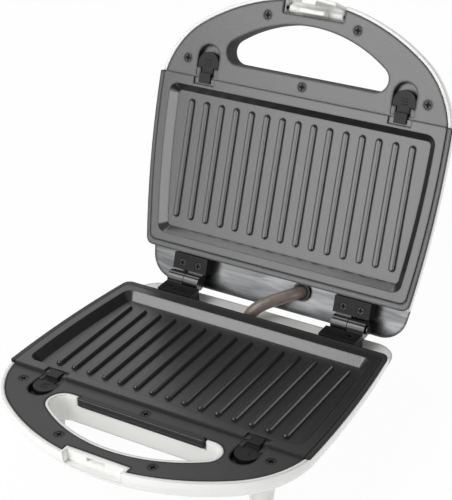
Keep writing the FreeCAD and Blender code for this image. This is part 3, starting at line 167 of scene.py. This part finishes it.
colour = add(lid_abs, "ShaderNodeMix", {
    "Factor": painted_shade_shelf.outputs[0], 6: white, 7: painted_shade_grey.outputs[2]}, data_type="RGBA")
polish = add(lid_abs, "ShaderNodeMapRange", {
    "Value": painted_shade_shelf.outputs[0], "To Min": ABS_POLISH, "To Max": SHELF_POLISH})
feed(shader, Base_Color=colour.outputs[2], Metallic=painted_shade_shelf.outputs[0], Roughness=polish.outputs["Result"],
     Normal=relief(lid_abs, RIPPLE_MM, detail=1.0, strength=0.08, depth=0.0008, edge=SHELL_EDGE))
dress(lid_abs, "lid_shell")


# Frames: dark decks moulded in heat-resistant PBT, with a fine satin grain on what faces the user. Each is
# held to its shell by five screws and carries a plate in its border. Edges and step walls look black in the
# photograph, so masks on them paint shade: the grey is darkened to black there.
def wall_share(material, face, steep, level):
    """How steeply a face stands on the deck: 1 on walls, 0 on what lies level."""
    normal = add(material, "ShaderNodeTexCoord", {}).outputs["Normal"]
    facing = add(material, "ShaderNodeVectorMath", {0: normal, 1: face}, operation="DOT_PRODUCT")
    lying = add(material, "ShaderNodeMath", {0: facing.outputs["Value"]}, operation="ABSOLUTE")
    share = {"Value": lying.outputs[0], "From Min": steep, "From Max": level, "To Min": 1.0, "To Max": 0.0}
    return add(material, "ShaderNodeMapRange", share).outputs["Result"]


def edge_share(material, radius):
    """How near a point is to an edge: 0 on open faces, 1 on the edge itself."""
    true_normal = add(material, "ShaderNodeNewGeometry", {}).outputs["Normal"]
    rounded = add(material, "ShaderNodeBevel", {"Radius": radius}, samples=BEVEL_SAMPLES)
    agree = add(material, "ShaderNodeVectorMath", {
        0: rounded.outputs["Normal"], 1: true_normal}, operation="DOT_PRODUCT")
    share = {"Value": agree.outputs["Value"], "From Min": ON_EDGE, "From Max": OFF_EDGE,
             "To Min": 1.0, "To Max": 0.0}
    return add(material, "ShaderNodeMapRange", share).outputs["Result"]


# Cosines between rounded and true normal at which a point counts as edge, or as open face.
ON_EDGE = 0.88
OFF_EDGE = 0.99
UP = Vector((0.0, 0.0, 1.0))
BLACK = linear("#0b0b0c")
FRAME_CLOUD_MM = 25.0
FRAME_SHADE_RADIUS = 0.0030
FRAME_EDGE = 0.0004
WALL_ROUGHNESS = 0.90
GRIP_MIDDLE = Vector((0.0, -0.09595, 0.0398))
GRIP_HALF = Vector((0.0492, 0.0024, 0.0060))
# Real grain is about 0.3 mm; it is drawn at 1.5 mm so that it shows in the render.
GRAIN_MM = 1.5
for name, face, satin, gloss in (("base_frame", UP, 0.48, 0.5), ("lid_frame", LID_OUT, 0.36, 0.85)):
    frame_pbt, shader = surface(name + "_grained_pbt", IOR=1.65, Specular_IOR_Level=gloss)
    grey = two_tone(frame_pbt, FRAME_CLOUD_MM, 3.0, "#1e1e20", "#29292a")
    walls = wall_share(frame_pbt, face, steep=0.35, level=0.65)
    # Painted shade: walls and edges go black and rough.
    painted_shade = add(frame_pbt, "ShaderNodeMath", {
        0: walls, 1: edge_share(frame_pbt, FRAME_SHADE_RADIUS)}, operation="MAXIMUM")
    # The grip bar behind the base's hand opening is black too; its mask is the block that it takes up.
    place = add(frame_pbt, "ShaderNodeTexCoord", {}).outputs["Object"]
    offset = add(frame_pbt, "ShaderNodeVectorMath", {0: place, 1: GRIP_MIDDLE}, operation="SUBTRACT")
    apart = add(frame_pbt, "ShaderNodeVectorMath", {0: offset.outputs["Vector"]}, operation="ABSOLUTE")
    room = add(frame_pbt, "ShaderNodeVectorMath", {
        0: GRIP_HALF, 1: apart.outputs["Vector"]}, operation="SUBTRACT")
    sides = add(frame_pbt, "ShaderNodeSeparateXYZ", {"Vector": room.outputs["Vector"]})
    least = add(frame_pbt, "ShaderNodeMath", {
        0: sides.outputs["X"], 1: sides.outputs["Y"]}, operation="MINIMUM")
    least = add(frame_pbt, "ShaderNodeMath", {
        0: least.outputs[0], 1: sides.outputs["Z"]}, operation="MINIMUM")
    grip = add(frame_pbt, "ShaderNodeMath", {0: least.outputs[0], 1: 0.0}, operation="GREATER_THAN")
    # The black is painted shade on walls and edges, and the grip's own black.
    dark = add(frame_pbt, "ShaderNodeMath", {0: painted_shade.outputs[0], 1: grip.outputs[0]}, operation="MAXIMUM")
    shade = add(frame_pbt, "ShaderNodeMix", {
        "Factor": dark.outputs[0], 6: grey, 7: BLACK}, data_type="RGBA")
    rough = add(frame_pbt, "ShaderNodeMapRange", {
        "Value": painted_shade.outputs[0], "To Min": satin, "To Max": WALL_ROUGHNESS})
    feed(shader, Base_Color=shade.outputs[2], Roughness=rough.outputs["Result"],
         Normal=relief(frame_pbt, GRAIN_MM, detail=3.0, strength=0.30, depth=0.0003, edge=FRAME_EDGE))
    dress(frame_pbt, name)

# Grill plates: die-cast aluminium sprayed with a dark non-stick PTFE coat, cured to a satin skin with flecks.
# They lie in the frames' borders and are held at the front by the levers' tongues. The steep sides of ribs
# and rims look darker and duller in the photograph, so masks on them paint shade, turning the coat black, and
# make it rough.
COAT_SHADE_RADIUS = 0.0018
COAT_EDGE = 0.0003
COAT_SATIN = 0.31
COAT_DULL = 0.72
# Sprayed drops are about 0.5 mm; they are drawn at 1.8 mm, and the flecks at 1.1 mm, so that they show.
SPRAY_MM = 1.8
FLECK_MM = 1.1111
for name, face, gloss in (("base_plate", UP, 0.75), ("lid_plate", LID_OUT, 1.0)):
    ptfe_coat, shader = surface(name + "_ptfe_coat", IOR=1.58, Specular_IOR_Level=gloss)
    place = add(ptfe_coat, "ShaderNodeTexCoord", {}).outputs["Object"]
    fleck = add(ptfe_coat, "ShaderNodeTexVoronoi", {"Vector": place, "Scale": 1000 / FLECK_MM})
    tone = add(ptfe_coat, "ShaderNodeMapRange", {"Value": fleck.outputs["Distance"], "From Max": 0.6})
    coat = add(ptfe_coat, "ShaderNodeMix", {
        "Factor": tone.outputs["Result"], 6: linear("#242426"), 7: linear("#161618")}, data_type="RGBA")
    # Painted shade: steep sides and edges of the coat go black and rough.
    walls = wall_share(ptfe_coat, face, steep=0.35, level=0.60)
    painted_shade = add(ptfe_coat, "ShaderNodeMath", {
        0: walls, 1: edge_share(ptfe_coat, COAT_SHADE_RADIUS)}, operation="MAXIMUM")
    shade = add(ptfe_coat, "ShaderNodeMix", {
        "Factor": painted_shade.outputs[0], 6: coat.outputs[2], 7: BLACK}, data_type="RGBA")
    rough = add(ptfe_coat, "ShaderNodeMapRange", {
        "Value": painted_shade.outputs[0], "To Min": COAT_SATIN, "To Max": COAT_DULL})
    feed(shader, Base_Color=shade.outputs[2], Roughness=rough.outputs["Result"],
         Normal=relief(ptfe_coat, SPRAY_MM, detail=3.0, strength=0.24, depth=0.0003, edge=COAT_EDGE))
    dress(ptfe_coat, name)

# Plate levers: thumb slides moulded in smoother black PBT, two in each frame, running between guides in the
# decks. Their tongues hold the plates. The plain face gives the eye a dull, even black.
LEVER_CLOUD_MM = 11.11
LEVER_EDGE = 0.0005
lever_pbt, shader = surface("smooth_black_pbt", IOR=1.57, Roughness=0.42, Specular_IOR_Level=0.22)
rounded = add(lever_pbt, "ShaderNodeBevel", {"Radius": LEVER_EDGE}, samples=BEVEL_SAMPLES)
feed(shader, Base_Color=two_tone(lever_pbt, LEVER_CLOUD_MM, 2.0, "#161617", "#1f1f20"),
     Normal=rounded.outputs["Normal"])
dress(lever_pbt, "base_lever_left", "base_lever_right", "lid_lever_left", "lid_lever_right")

# Lever ridges: three short raised bars on each thumb pad, moulded in one with the lever, so a finger can
# drag it. One row is modelled flat, and a copy of it is laid on each of the four pads.
RIDGE_LENGTH = 0.0052
RIDGE_WIDTH = 0.0009
RIDGE_RISE = 0.00035
RIDGE_ROUND = 0.8 * RIDGE_RISE
RIDGE_PITCH = 0.0020
RIDGE_COUNT = 3
bpy.ops.object.select_all(action="DESELECT")
bpy.ops.mesh.primitive_cube_add(size=1.0)
ridge_row = bpy.context.object
bpy.ops.transform.resize(value=(RIDGE_LENGTH, RIDGE_WIDTH, 2 * RIDGE_RISE))
bpy.ops.transform.translate(value=(0.0, -RIDGE_PITCH * (RIDGE_COUNT - 1) / 2, 0.0))
bpy.ops.object.transform_apply(location=True, rotation=True, scale=True)
bpy.ops.object.mode_set(mode="EDIT")
bpy.ops.mesh.select_all(action="SELECT")
bpy.ops.mesh.bevel(offset=RIDGE_ROUND, segments=3, affect="EDGES")
bpy.ops.object.mode_set(mode="OBJECT")
repeat = ridge_row.modifiers.new("repeat", "ARRAY")
repeat.count = RIDGE_COUNT
repeat.use_relative_offset = False
repeat.use_constant_offset = True
repeat.constant_offset_displace = (0.0, RIDGE_PITCH, 0.0)
bpy.ops.object.modifier_apply(modifier="repeat")
bpy.ops.object.shade_smooth()
ridge_row.data.materials.append(lever_pbt)
REACH_BASE = Vector((0.0, -1.0, 0.0))
PAD_BASE = Vector((0.0, -0.09375, 0.0426))
PAD_LID = Vector((0.0, 0.11976, 0.19546))
for half, reach_way, outward, pad in (("base", REACH_BASE, UP, PAD_BASE), ("lid", LID_UP, LID_OUT, PAD_LID)):
    for side in ("left", "right"):
        spot = Vector((middle(half + "_lever_" + side).x, pad.y, pad.z))
        turned = Matrix((reach_way.cross(outward), reach_way, outward)).transposed().to_4x4()
        bpy.ops.object.select_all(action="DESELECT")
        ridge_row.select_set(True)
        bpy.context.view_layer.objects.active = ridge_row
        bpy.ops.object.duplicate()
        ridges = bpy.context.object
        ridges.name = half + "_lever_" + side + "_ridges"
        ridges.data.transform(Matrix.Translation(spot) @ turned)
        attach(ridges, half + "_release_" + side)
bpy.data.objects.remove(ridge_row)

# Hinges: zinc castings sprayed satin black, one leaf screwed to each shelf, turning on steel pins.
# The knuckles look glossier in the photograph, so the paint has a clear coat near the hinge line.
PAINT_CLOUD_MM = 8.333
PAINT_EDGE = 0.0006
KNUCKLE_REACH = 0.0066
ACROSS_HINGE = (0.0, 1.0, 1.0)
black_paint, shader = surface("sprayed_black_zinc", IOR=1.5, Roughness=0.36, Specular_IOR_Level=0.2,
                              Coat_Roughness=0.12)
place = add(black_paint, "ShaderNodeTexCoord", {}).outputs["Object"]
offset = add(black_paint, "ShaderNodeVectorMath", {0: place, 1: HINGE_LINE}, operation="SUBTRACT")
across = add(black_paint, "ShaderNodeVectorMath", {
    0: offset.outputs["Vector"], 1: ACROSS_HINGE}, operation="MULTIPLY")
radius = add(black_paint, "ShaderNodeVectorMath", {0: across.outputs["Vector"]}, operation="LENGTH")
knuckle = add(black_paint, "ShaderNodeMath", {
    0: radius.outputs["Value"], 1: KNUCKLE_REACH}, operation="LESS_THAN")
rounded = add(black_paint, "ShaderNodeBevel", {"Radius": PAINT_EDGE}, samples=BEVEL_SAMPLES)
feed(shader, Base_Color=two_tone(black_paint, PAINT_CLOUD_MM, 2.0, "#101011", "#181819"),
     Normal=rounded.outputs["Normal"], Coat_Weight=knuckle.outputs[0])
dress(black_paint, "base_hinge_left", "base_hinge_right", "lid_hinge_left", "lid_hinge_right",
      "hinge_pin_left", "hinge_pin_right", "clip_pin")

# Screws: small pan heads in steel with a dark oxide finish, driven through a cross recess. The flat of each
# head looks grey in the photograph, and its recess and rim get painted shade in near-black, from a mask that
# parts them by height.
OXIDE_CLOUD_MM = 2.5
SCREW_SHADE_RADIUS = 0.0005
FLAT_DEPTH = 0.0001
for name, face in (("base_hinge_screws", UP), ("lid_hinge_screws", LID_OUT),
                   ("base_deck_screws", UP), ("lid_deck_screws", LID_OUT)):
    oxide_steel, shader = surface(name + "_oxide_steel", Metallic=0.8, Roughness=0.4)
    top = max(vertex.co.dot(face) for vertex in parts[name].data.vertices)
    grey = two_tone(oxide_steel, OXIDE_CLOUD_MM, 2.0, "#39393b", "#4a4a4c")
    place = add(oxide_steel, "ShaderNodeTexCoord", {}).outputs["Object"]
    height = add(oxide_steel, "ShaderNodeVectorMath", {0: place, 1: face}, operation="DOT_PRODUCT")
    # Painted shade: what lies below the flat, and the rim's edge, turn near-black.
    painted_shade_below_flat = add(oxide_steel, "ShaderNodeMath", {
        0: height.outputs["Value"], 1: top - FLAT_DEPTH}, operation="LESS_THAN")
    dark = add(oxide_steel, "ShaderNodeMath", {
        0: painted_shade_below_flat.outputs[0], 1: edge_share(oxide_steel, SCREW_SHADE_RADIUS)}, operation="MAXIMUM")
    shade = add(oxide_steel, "ShaderNodeMix", {
        "Factor": dark.outputs[0], 6: grey, 7: linear("#050505")}, data_type="RGBA")
    feed(shader, Base_Color=shade.outputs[2])
    dress(oxide_steel, name)

# Inner pieces: steel-sheathed heaters over sheet reflectors, and switches and terminals moulded in phenolic,
# all fixed inside the shells. The sheath is stained by heat, the sheet bright and the phenolic a dull buff.
for finish, inputs, cloud_mm, detail, dark, light, names in (
        ("heat_stained_steel", {"Metallic": 1.0, "Roughness": 0.42}, 20.0, 3.0, "#6a6258", "#8a8580",
         ("base_heater", "lid_heater")),
        ("bright_aluminium_sheet", {"Metallic": 1.0, "Roughness": 0.3}, 3.333, 2.0, "#bcbcbe", "#cdcdcf",
         ("base_reflector", "lid_reflector")),
        ("buff_phenolic", {"IOR": 1.55, "Roughness": 0.55}, 5.0, 3.0, "#b9ad98", "#cbbfa9",
         ("base_thermostat", "lid_thermal_cutout", "base_terminal_block"))):
    inner_finish, shader = surface(finish, **inputs)
    feed(shader, Base_Color=two_tone(inner_finish, cloud_mm, detail, dark, light))
    dress(inner_finish, *names)

# Rubber pieces: pale pads under the legs, and black bushes and a gland where leads pass through the shells.
# They are moulded and pushed into place. Moulded rubber looks matt, with a faint mottle.
RUBBER_IOR = 1.52
MOTTLE_MM = 4.0
for finish, matt, dark, light, names in (
        ("pale_moulded_rubber", 0.6, "#c9c8c4", "#d6d5d2", ("base_feet",)),
        ("black_moulded_rubber", 0.55, "#141414", "#1d1d1d",
         ("cord_gland", "base_lead_bush", "lid_lead_bush"))):
    rubber, shader = surface(finish, IOR=RUBBER_IOR, Roughness=matt)
    feed(shader, Base_Color=two_tone(rubber, MOTTLE_MM, 3.0, dark, light))
    dress(rubber, *names)

# Pilot lamps: acrylic lenses tinted in the mould, one red and one green, set into the lid's outer face.
# They are drawn opaque and glossy, and the tint deepens and pales a little across each lens.
TINT_MM = 6.667
for name, tint in (("lamp_red", "#c01812"), ("lamp_green", "#2f9a3c")):
    lens, shader = surface(name + "_acrylic", IOR=1.49, Roughness=0.12)
    place = add(lens, "ShaderNodeTexCoord", {}).outputs["Object"]
    depth = add(lens, "ShaderNodeTexNoise", {"Vector": place, "Scale": 1000 / TINT_MM, "Detail": 1.0})
    shade = add(lens, "ShaderNodeHueSaturation", {"Color": linear(tint), "Value": depth.outputs["Fac"]})
    feed(shader, Base_Color=shade.outputs["Color"])
    dress(lens, name)

# Bridge lead: insulated wires in a smooth varnished sleeve, taupe, that carries power into the lid.
# It rises from a bush in the base's shelf, leans across the hinge line and goes in through the lid's shelf.
# The varnish gives a soft sheen over a faint braid.
SLEEVE_CLOUD_MM = 3.846
BRAID_MM = 0.7143
sleeve, shader = surface("varnished_taupe_sleeve", IOR=1.5, Roughness=0.34, Coat_Weight=0.25)
place = add(sleeve, "ShaderNodeTexCoord", {}).outputs["Object"]
braid = add(sleeve, "ShaderNodeTexVoronoi", {"Vector": place, "Scale": 1000 / BRAID_MM})
bump = add(sleeve, "ShaderNodeBump", {
    "Height": braid.outputs["Distance"], "Strength": 0.15, "Distance": 0.0003})
feed(shader, Base_Color=two_tone(sleeve, SLEEVE_CLOUD_MM, 3.0, "#5d524b", "#857970"),
     Normal=bump.outputs["Normal"])

SLEEVE_RADIUS = 0.0045
SLEEVE_SUNK = 0.0024
SLEEVE_RISE = 0.0100
SLEEVE_REACH = 0.0085
base_bush = middle("base_lead_bush")
lid_bush = middle("lid_lead_bush")
route = (base_bush - UP * SLEEVE_SUNK, base_bush + UP * SLEEVE_RISE,
         lid_bush + LID_OUT * SLEEVE_REACH, lid_bush - LID_OUT * SLEEVE_SUNK)
sleeve_line = bpy.data.curves.new("bridge_lead_sleeve", "CURVE")
sleeve_line.dimensions = "3D"
sleeve_line.bevel_depth = SLEEVE_RADIUS
sleeve_line.bevel_resolution = 8
sleeve_line.resolution_u = 24
spline = sleeve_line.splines.new("NURBS")
spline.points.add(len(route) - 1)
for point, spot in zip(spline.points, route):
    point.co = (*spot, 1.0)
spline.order_u = 3
spline.use_endpoint_u = True
sleeve_piece = bpy.data.objects.new("bridge_lead_sleeve", sleeve_line)
bpy.context.scene.collection.objects.link(sleeve_piece)
bpy.ops.object.select_all(action="DESELECT")
sleeve_piece.select_set(True)
bpy.context.view_layer.objects.active = sleeve_piece
bpy.ops.object.convert(target="MESH")
bpy.ops.object.shade_smooth()
sleeve_piece = bpy.context.object
sleeve_piece.data.materials.append(sleeve)
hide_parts("bridge_lead")
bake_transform(sleeve_piece)

# Camera: where the photograph was taken from, solved from the ribs and screws of both halves.
# The focal length is in pixels of the photograph, which is 500 high.
PHOTO_FOCAL = 1480.0
PHOTO_HEIGHT = 500
SENSOR_HEIGHT = 24.0
EYE = Vector((0.45476, -0.72693, 0.57826))
RIGHT = Vector((0.857364, 0.514296, -0.020678))
DOWN = Vector((0.227343, -0.414427, -0.881229))
AHEAD = Vector((-0.461782, 0.750833, -0.472237))
camera_data = bpy.data.cameras.new("camera")
camera_data.sensor_fit = "VERTICAL"
camera_data.sensor_height = SENSOR_HEIGHT
camera_data.lens = PHOTO_FOCAL / PHOTO_HEIGHT * SENSOR_HEIGHT
camera_data.clip_end = 60.0
camera = bpy.data.objects.new("camera", camera_data)
axes = Matrix((RIGHT, -DOWN, -AHEAD)).transposed().to_4x4()
camera.matrix_world = Matrix.Translation(EYE) @ axes
bpy.context.scene.collection.objects.link(camera)
bpy.context.scene.camera = camera

# Table: a wide sheet of matt white paper that the feet stand on. To the camera, and in gloss and glass, most
# of it is plain white; the small share that is left keeps the object's shadow.
WHITE = linear("#ffffff")
TABLE_SIZE = 40.0
PLAIN_WHITE_SHARE = 0.96
table_paper, shader = surface("white_paper", Base_Color=linear("#f4f4f4"), Roughness=0.9,
                              Specular_IOR_Level=0.0)
rays = add(table_paper, "ShaderNodeLightPath", {})
seen = add(table_paper, "ShaderNodeMath", {
    0: rays.outputs["Is Camera Ray"], 1: rays.outputs["Is Glossy Ray"]}, operation="MAXIMUM")
seen = add(table_paper, "ShaderNodeMath", {
    0: seen.outputs[0], 1: rays.outputs["Is Transmission Ray"]}, operation="MAXIMUM")
amount = add(table_paper, "ShaderNodeMath", {0: seen.outputs[0], 1: PLAIN_WHITE_SHARE}, operation="MULTIPLY")
glow = add(table_paper, "ShaderNodeEmission", {"Color": WHITE, "Strength": 1.0})
blend = add(table_paper, "ShaderNodeMixShader", {
    0: amount.outputs[0], 1: shader.outputs["BSDF"], 2: glow.outputs["Emission"]})
table_output = table_paper.node_tree.nodes["Material Output"]
table_paper.node_tree.links.new(blend.outputs["Shader"], table_output.inputs["Surface"])
bpy.ops.object.select_all(action="DESELECT")
bpy.ops.mesh.primitive_plane_add(size=TABLE_SIZE, location=(0, 0, 0))
table = bpy.context.object
table.name = "table"
table.data.materials.append(table_paper)


# Light: a pale room all round and six square softboxes. Seen from the camera, the lid's plate mirrors the
# one at the front left, and the base's plate and deck mirror the one at the rear left.
def softbox(name, size, place, target, power):
    """Square area light aimed at a point."""
    lamp = bpy.data.lights.new(name, "AREA")
    lamp.size = size
    lamp.energy = power
    item = bpy.data.objects.new(name, lamp)
    item.location = place
    item.rotation_euler = (Vector(target) - Vector(place)).to_track_quat("-Z", "Y").to_euler()
    bpy.context.scene.collection.objects.link(item)


ROOM_LIGHT = 0.30
world = bpy.data.worlds.new("studio")
bpy.context.scene.world = world
world.use_nodes = True
world.node_tree.nodes["Background"].inputs["Strength"].default_value = ROOM_LIGHT
world.node_tree.nodes["Background"].inputs["Color"].default_value = WHITE
softbox("softbox_front_left", 1.15, (-0.46, -1.57, 0.40), (0, 0.12, 0.15), 12.0)
softbox("softbox_upper_left", 0.8, (-0.75, -0.9, 1.15), (0, 0, 0.05), 11.0)
softbox("softbox_right", 0.6, (1.5, -0.5, 0.22), (0, 0.1, 0.15), 5.5)
softbox("softbox_overhead", 0.45, (-0.52, 0.34, 1.15), (0, 0.09, 0.1), 2.0)
softbox("softbox_rear", 0.9, (0.9, 1.6, 0.85), (0, 0.1, 0.12), 7.0)
softbox("softbox_rear_left", 1.0, (-0.95, 1.1, 0.90), (-0.05, 0, 0.05), 2.2)

bpy.context.scene.view_settings.view_transform = "Standard"
